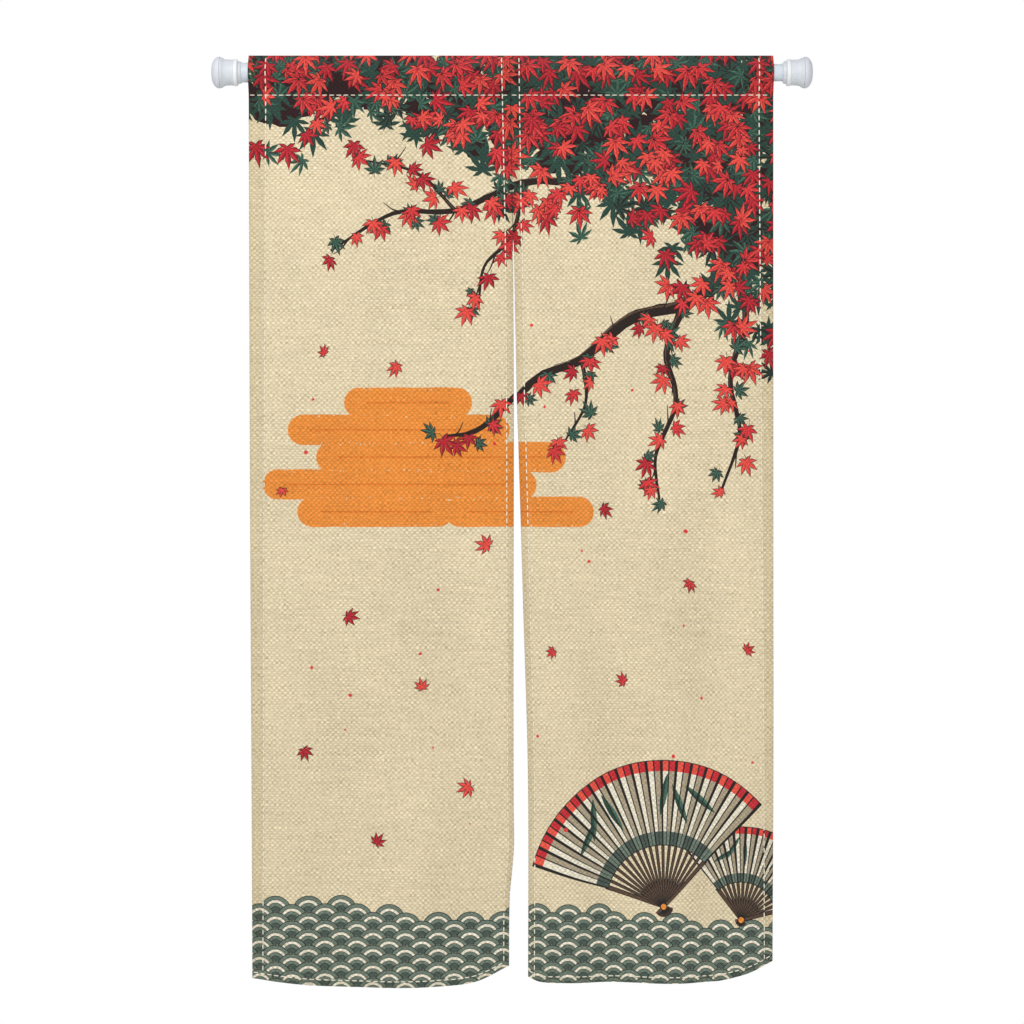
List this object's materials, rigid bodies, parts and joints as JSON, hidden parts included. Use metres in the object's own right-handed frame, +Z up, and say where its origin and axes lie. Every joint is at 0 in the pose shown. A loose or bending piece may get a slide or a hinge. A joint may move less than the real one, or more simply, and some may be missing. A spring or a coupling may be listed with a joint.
{
  "type": "noren curtain on a tension rod",
  "caption": "Split doorway curtain of cream plain-woven cloth with a rod pocket, hanging on a white telescopic tension rod with domed end pads.",
  "frame": {"origin": "centre of the left pad's flat end, on the rod's axis", "axes": "+X along the rod towards the right pad, -Y the printed front, +Z up"},
  "size_m": [0.969, 0.051, 1.5034],
  "materials": {
    "cloth": "plain-woven, printed, matte",
    "rod_paint": "smooth white paint",
    "cap_plastic": "satin moulded white",
    "end_pad": "soft white pad"
  },
  "bodies": {
    "root": {"panel_left": "cloth", "panel_right": "cloth", "rod_outer_tube": "rod_paint", "rod_inner_tube": "rod_paint", "cap_left": "cap_plastic", "cap_right": "cap_plastic", "pad_left": "end_pad", "pad_right": "end_pad"}
  },
  "joints": []
}
